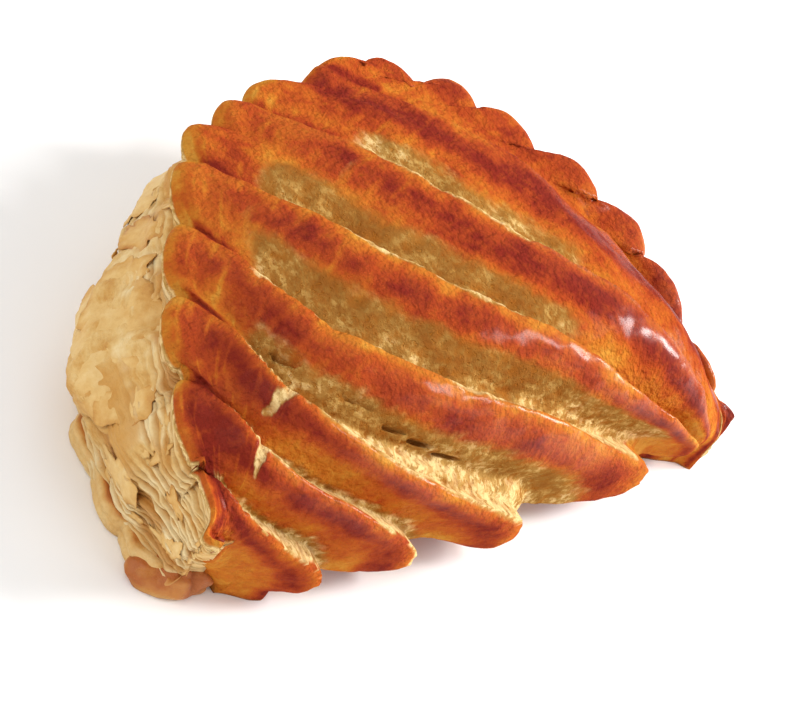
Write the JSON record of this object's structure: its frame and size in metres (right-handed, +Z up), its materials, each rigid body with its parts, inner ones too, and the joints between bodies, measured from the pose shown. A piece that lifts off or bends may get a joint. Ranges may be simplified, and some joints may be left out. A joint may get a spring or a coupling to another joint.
{
  "type": "puff pastry turnover",
  "caption": "Half-moon puff pastry turnover with a fluted layered edge, a rounded fold and curved open slashes across its glazed top.",
  "frame": {"origin": "middle of the box the pastry fills, on the flat face it rests on", "axes": "+X along the fold, from the tall near corner to the thin pinched tip; +Y from the fold to the fluted edge; +Z up"},
  "size_m": [0.136, 0.0936, 0.04],
  "materials": {
    "baked_crust": "glossy egg-washed red-brown bands, matt straw-coloured torn dough between them, cream flaky sides"
  },
  "bodies": {
    "root": {"turnover": "baked_crust"}
  },
  "joints": []
}
